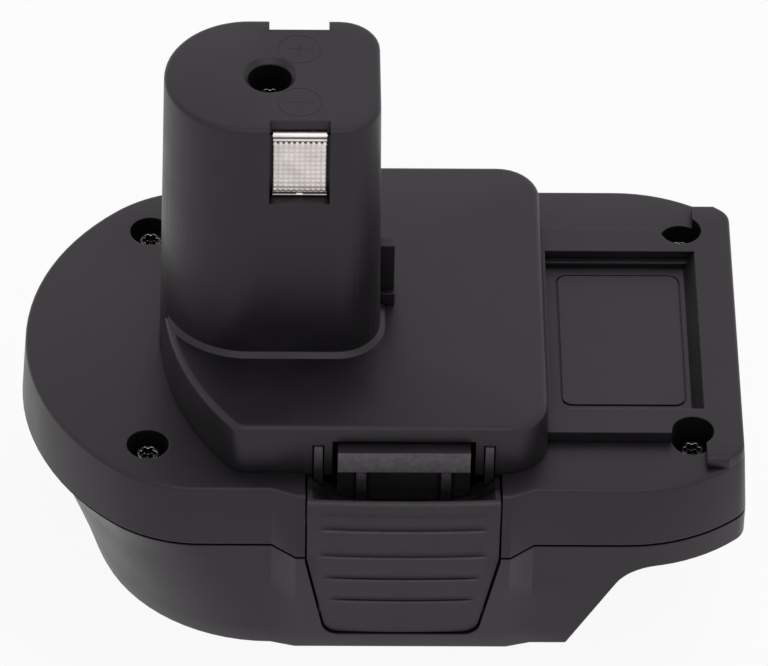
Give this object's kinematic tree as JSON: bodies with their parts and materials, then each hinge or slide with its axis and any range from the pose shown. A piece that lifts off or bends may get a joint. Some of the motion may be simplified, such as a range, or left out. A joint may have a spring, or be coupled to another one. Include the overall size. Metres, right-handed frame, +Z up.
{
  "type": "tool battery adapter",
  "caption": "Black battery adapter: a D-shaped stem with side contacts fits the tool on top, slide rails underneath hold a battery, and sprung press latches sit on both sides.",
  "frame": {"origin": "middle of the casing's box, on the surface that the skirt's bottom edge stands on", "axes": "+X towards the end where the battery slides in, +Y towards the rear latch, +Z up along the stem"},
  "size_m": [0.114, 0.0774, 0.0882],
  "materials": {
    "casing_plastic": "fine matte moulded texture",
    "latch_plastic": "fine matte moulded texture",
    "inner_plastic": "plain moulded",
    "label_film": "satin film",
    "contact_metal": "nickel-plated, dimpled",
    "terminal_brass": "plain brass sheet",
    "spring_steel": "drawn wire",
    "black_screw": "black oxide",
    "bright_screw": "zinc-plated",
    "red_lead": "insulated wire",
    "black_lead": "insulated wire"
  },
  "bodies": {
    "casing": {"upper_casing": "casing_plastic", "lower_casing": "casing_plastic", "front_latch_spring": "spring_steel", "rear_latch_spring": "spring_steel", "contact_carrier": "inner_plastic", "front_contact": "contact_metal", "rear_contact": "contact_metal", "stem_screw": "black_screw", "casing_screws": "black_screw", "terminal_block": "inner_plastic", "positive_blade": "terminal_brass", "negative_blade": "terminal_brass", "terminal_block_screws": "bright_screw", "positive_lead": "red_lead", "negative_lead": "black_lead", "blank_label": "label_film"},
    "front_press_latch": {"front_latch": "latch_plastic"},
    "rear_press_latch": {"rear_latch": "latch_plastic"}
  },
  "joints": [
    {"name": "front_latch_press", "type": "hinge", "parent": "casing", "child": "front_press_latch", "pos_m": [0.003, -0.03475, 0.008], "axis": [-1, 0, 0], "range_deg": [0, 5], "stiffness_Nm_per_rad": 0.95, "springref_deg": -5.16, "deforming": ["front_latch_spring"]},
    {"name": "rear_latch_press", "type": "hinge", "parent": "casing", "child": "rear_press_latch", "pos_m": [0.003, 0.03475, 0.008], "axis": [1, 0, 0], "range_deg": [0, 5], "stiffness_Nm_per_rad": 0.95, "springref_deg": -5.16, "deforming": ["rear_latch_spring"]}
  ]
}
